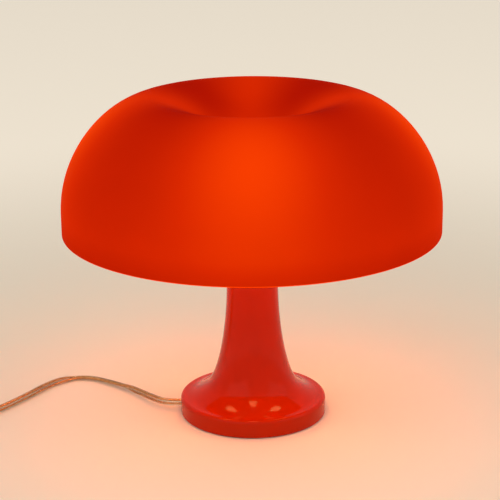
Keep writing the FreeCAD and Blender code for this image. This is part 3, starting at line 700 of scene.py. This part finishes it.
def paintGlowThrough(tree, shader, where):
    # painted glow: each lamp's light through the wall is painted as emission, by its distance and by how
    # squarely it shines through
    glow = paintedShadeGlow
    normal = addNode(tree, "ShaderNodeNewGeometry").outputs["Normal"]
    direct = None
    for x, y in lampSides:
        bulb = (x * glow["bulbOut"], y * glow["bulbOut"], glow["bulbZ"])
        away = addNode(tree, "ShaderNodeVectorMath", {0: where, 1: bulb}, operation="SUBTRACT").outputs[0]
        length = addNode(tree, "ShaderNodeVectorMath", {0: away}, operation="LENGTH").outputs["Value"]
        facing = addNode(tree, "ShaderNodeVectorMath", {0: away, 1: normal}, operation="DOT_PRODUCT")
        cube = addNode(tree, "ShaderNodeMath", {0: length, 1: 3.0}, operation="POWER").outputs[0]
        lit = addNode(tree, "ShaderNodeMath", {0: facing.outputs["Value"], 1: cube}, operation="DIVIDE")
        lit = addNode(tree, "ShaderNodeMath", {0: lit.outputs[0], 1: 0.0}, operation="MAXIMUM").outputs[0]
        if direct is not None:
            lit = addNode(tree, "ShaderNodeMath", {0: direct, 1: lit}, operation="ADD").outputs[0]
        direct = lit
    upward = addNode(tree, "ShaderNodeSeparateXYZ", {0: normal}).outputs["Z"]
    height = addNode(tree, "ShaderNodeSeparateXYZ", {0: where}).outputs["Z"]
    total = glow["base"]
    for value, factor in ((direct, glow["gain"]), (upward, glow["upward"]), (height, glow["climb"])):
        total = addNode(tree, "ShaderNodeMath", {0: value, 1: factor, 2: total},
                        operation="MULTIPLY_ADD").outputs[0]
    # no painted glow on the inner faces, which the lamps light themselves
    outer = addNode(tree, "ShaderNodeMapRange", {"Value": direct, "From Max": glow["wholeFrom"]})
    level = addNode(tree, "ShaderNodeMath", {0: total, 1: outer.outputs[0]},
                    operation="MULTIPLY", use_clamp=True)
    ramp = addNode(tree, "ShaderNodeValToRGB", {"Fac": level.outputs[0]})
    stops = ramp.color_ramp.elements
    while len(stops) < len(glow["colours"]):
        stops.new(1.0)
    for stop, (place, colour) in zip(stops, glow["colours"]):
        stop.position, stop.color = place, hexColour(colour)
    tree.links.new(ramp.outputs["Color"], shader.inputs["Emission Color"])


# a finish is two colours mottled together, patches that stray from its roughness, and a grain; sizes in mm
moulded = {
    "mottle": 8, "patches": 3, "stray": (-0.04, 0.04),
    "grain": 0.6, "grainDetail": 3.0, "grainDepth": 0.01, "grainShows": 0.4, "shader": {"IOR": 1.5}}
metallic = {"mottle": 4, "patches": 1.2, "stray": (-0.06, 0.08), "shader": {"Metallic": 1.0}}
finishLooks = {
    # thin translucent moulding: satin, its sheen lost in the painted glow that stands in for the light coming
    # through it
    "shade": {
        "name": "translucentMouldedPlastic", "colours": ("#a51202", "#ab1402"), "mottle": 45,
        "roughness": 0.56, "patches": 9, "stray": (-0.04, 0.04),
        "grain": 1.6, "grainDetail": 2.0, "grainDepth": 0.02, "grainShows": 0.5, "paintedGlow": True,
        "shader": {"IOR": 1.49, "Specular IOR Level": 0.001, "Emission Strength": 1.0}},
    # polished moulded ABS: clear mirror images, barely rippled
    "stem": {
        "name": "polishedAbs", "colours": ("#b72401", "#bd2702"), "mottle": 60,
        "roughness": 0.07, "patches": 14, "stray": (-0.01, 0.01),
        "grain": 12, "grainDetail": 1.0, "grainDepth": 0.01, "grainShows": 0.15,
        "shader": {"IOR": 1.53, "Specular IOR Level": 0.1}},
    # the same ABS from a less polished mould: soft highlights
    "knob": {
        **moulded, "name": "mouldedAbs", "colours": ("#b72401", "#bd2702"), "roughness": 0.25,
        "shader": {"IOR": 1.5, "Specular IOR Level": 0.12}},
    # black varnish on a casting: a dull, uneven shine
    "iron": {**moulded, "name": "varnishedCastIron", "colours": ("#1b1b1c", "#242425"), "roughness": 0.5},
    # black and quite matt
    "felt": {**moulded, "name": "pressedFelt", "colours": ("#0d0d0e", "#1a1a1b"), "roughness": 0.95},
    # black with a waxy shine
    "black": {**moulded, "name": "blackPolypropylene", "colours": ("#131314", "#1c1c1d"), "roughness": 0.45},
    # a cool grey metal, slightly blurred
    "zinc": {**metallic, "name": "zincPlatedSteel", "colours": ("#a9acb0", "#c6c8ca"), "roughness": 0.32},
    # hard phenolic resin: off-white, half gloss
    "phenolic": {**moulded, "name": "mouldedPhenolic", "colours": ("#e4ddcd", "#ece6d8"), "roughness": 0.3},
    # yellow, with fine blurred highlights
    "brass": {**metallic, "name": "turnedBrass", "colours": ("#b98d3f", "#d2a95c"), "roughness": 0.28},
    # a warmer white than zinc, and brighter
    "nickel": {**metallic, "name": "nickelledBrass", "colours": ("#b9b2a2", "#d0cabd"), "roughness": 0.25},
    # a plain light grey metal
    "capMetal": {**metallic, "name": "rolledAluminium", "colours": ("#b4b4b4", "#d0d0d0"), "roughness": 0.3},
    # lit opal glass: an even warm white
    "globe": {
        "name": "litOpal", "colours": ("#fff1dc", "#fff6ea"), "mottle": 10,
        "shader": {"Roughness": 0.35, "Emission Strength": 16.0, "Emission Color": hexColour("#ffb066")}},
    # off-white, half matt
    "seat": {**moulded, "name": "mouldedNylon", "colours": ("#e0dccf", "#e9e5da"), "roughness": 0.4},
    # black and nearly matt
    "rubber": {**moulded, "name": "mouldedRubber", "colours": ("#101010", "#1b1b1b"), "roughness": 0.7},
    # clear PVC: bends what lies inside, with a faint amber tint of its own
    "clearSleeve": {
        "name": "clearPvc", "colours": ("#f6e9cf", "#fbf1dc"), "mottle": 20,
        "shader": {"IOR": 1.53, "Transmission Weight": 1.0, "Roughness": 0.06}},
    # bright pink-brown strands
    "copper": {**metallic, "name": "bareCopper", "colours": ("#cf9152", "#eebb84"), "roughness": 0.3},
    # off-white insulation, half gloss
    "wire": {**moulded, "name": "pvcWire", "colours": ("#dcd9d0", "#e6e3da"), "roughness": 0.35},
    # pale grey and smooth
    "switch": {**moulded, "name": "switchAbs", "colours": ("#d9d6cc", "#e2dfd6"), "roughness": 0.3},
    # bright and clean, the shiniest metal here
    "pin": {**metallic, "name": "nickelledPin", "colours": ("#bdbab2", "#d6d3cb"), "roughness": 0.2},
}
finishOfSlot = {
    "stem_plastic": "stem", "shade_plastic": "shade", "knob_plastic": "knob", "iron": "iron", "felt": "felt",
    "black_plastic": "black", "zinc_steel": "zinc", "bakelite": "phenolic", "brass": "brass",
    "nickel_brass": "nickel", "cap_metal": "capMetal", "opal_globe": "globe", "seat_plastic": "seat",
    "gasket_rubber": "rubber", "clear_flex": "clearSleeve", "wire_sleeve": "wire", "switch_plastic": "switch",
    "rocker_plastic": "switch", "plug_plastic": "switch", "pin_metal": "pin",
}


def makeFinish(look):
    material, tree, shader, where = newMaterial(look["name"], look["shader"])
    dark, light = (hexColour(colour) for colour in look["colours"])
    mottle = speckled(tree, where, look["mottle"], 0.0, 1.0)
    tone = addNode(tree, "ShaderNodeMix", {"Factor": mottle, 6: dark, 7: light}, data_type="RGBA")
    tree.links.new(tone.outputs[2], shader.inputs["Base Color"])
    if "patches" in look:
        smoothest, roughest = (look["roughness"] + stray for stray in look["stray"])
        rough = speckled(tree, where, look["patches"], smoothest, roughest)
        tree.links.new(rough, shader.inputs["Roughness"])
    if "grain" in look:
        grain = speckled(tree, where, look["grain"], 0.0, 1.0, look["grainDetail"])
        bump = addNode(tree, "ShaderNodeBump", {
            "Height": grain, "Distance": look["grainDepth"] * mm, "Strength": look["grainShows"]})
        tree.links.new(bump.outputs["Normal"], shader.inputs["Normal"])
    # the shade's glow is painted as emission
    if look.get("paintedGlow"):
        paintGlowThrough(tree, shader, where)
    return material


def makeFinishes():
    finishes = {name: makeFinish(look) for name, look in finishLooks.items()}
    print("finishes made")
    return finishes


def paintNodes(finishes):
    for name, slot in slotOf.items():
        paint(nodes[name], finishes[finishOfSlot[slot]])
    print("nodes painted")


studio = {
    "floor": "#f6f1e8",
    "floorShader": {"Roughness": 0.9, "Specular IOR Level": 0.2},
    "floorSize": 40,          # metres, like the rest
    "liftFrom": 0.25,         # from the lamp, where the background starts to get paler
    "liftTo": 1.1,
    "lift": 0.26,
    "light": "#f6ecdc",       # the world and the softboxes alike
    "worldStrength": 0.6,
    "aim": (0, 0, 0.15),      # where the softboxes point
    "softboxes": (            # name, place, size, and power in watts
        ("softboxLeft", (-1.6, -1.6, 2.2), 3.2, 20),
        ("softboxRight", (1.8, -0.6, 1.6), 2.2, 9)),
}


def buildFloor():
    bpy.ops.object.select_all(action="DESELECT")
    bpy.ops.mesh.primitive_plane_add(size=studio["floorSize"])
    floor = bpy.context.object
    floor.name = "studioFloor"
    # studio paper: pale and matt
    material, tree, shader, where = newMaterial("paperFloor", studio["floorShader"])
    for socket in ("Base Color", "Emission Color"):
        shader.inputs[socket].default_value = hexColour(studio["floor"])
    # far from the lamp the floor turns paler, as a background, with no more light on the object
    distance = addNode(tree, "ShaderNodeVectorMath", {0: where}, operation="LENGTH").outputs["Value"]
    far = addNode(tree, "ShaderNodeMapRange", {
        "Value": distance, "From Min": studio["liftFrom"], "From Max": studio["liftTo"],
        "To Max": studio["lift"]}, interpolation_type="SMOOTHSTEP").outputs[0]
    path = addNode(tree, "ShaderNodeLightPath").outputs
    seen = path["Is Camera Ray"]
    for ray in ("Is Glossy Ray", "Is Transmission Ray"):
        both = addNode(tree, "ShaderNodeMath", {0: seen, 1: path[ray]}, operation="ADD", use_clamp=True)
        seen = both.outputs[0]
    lift = addNode(tree, "ShaderNodeMath", {0: far, 1: seen}, operation="MULTIPLY").outputs[0]
    tree.links.new(lift, shader.inputs["Emission Strength"])
    paint(floor, material)


def buildStudio():
    buildFloor()
    world = bpy.data.worlds.new("studioWorld")
    world.use_nodes = True
    background = world.node_tree.nodes["Background"]
    background.inputs["Color"].default_value = hexColour(studio["light"])
    background.inputs["Strength"].default_value = studio["worldStrength"]
    bpy.context.scene.world = world
    for name, place, size, power in studio["softboxes"]:
        data = bpy.data.lights.new(name, "AREA")
        data.size = size
        data.energy = power
        data.color = hexColour(studio["light"])[:3]
        lamp = bpy.data.objects.new(name, data)
        lamp.location = place
        lamp.rotation_euler = (Vector(studio["aim"]) - Vector(place)).to_track_quat("-Z", "Y").to_euler()
        bpy.context.scene.collection.objects.link(lamp)
    bpy.context.scene.view_settings.view_transform = "Standard"
    print("studio made")


def writeSizes():
    print("scene built")


addCamera()
finishes = makeFinishes()
buildCords(finishes, buildSoftEdges(finishes))
buildFoot(finishes)
buildThreads(finishes)
buildTieRod(finishes)
buildShade(finishes)
paintNodes(finishes)
buildStudio()
writeSizes()
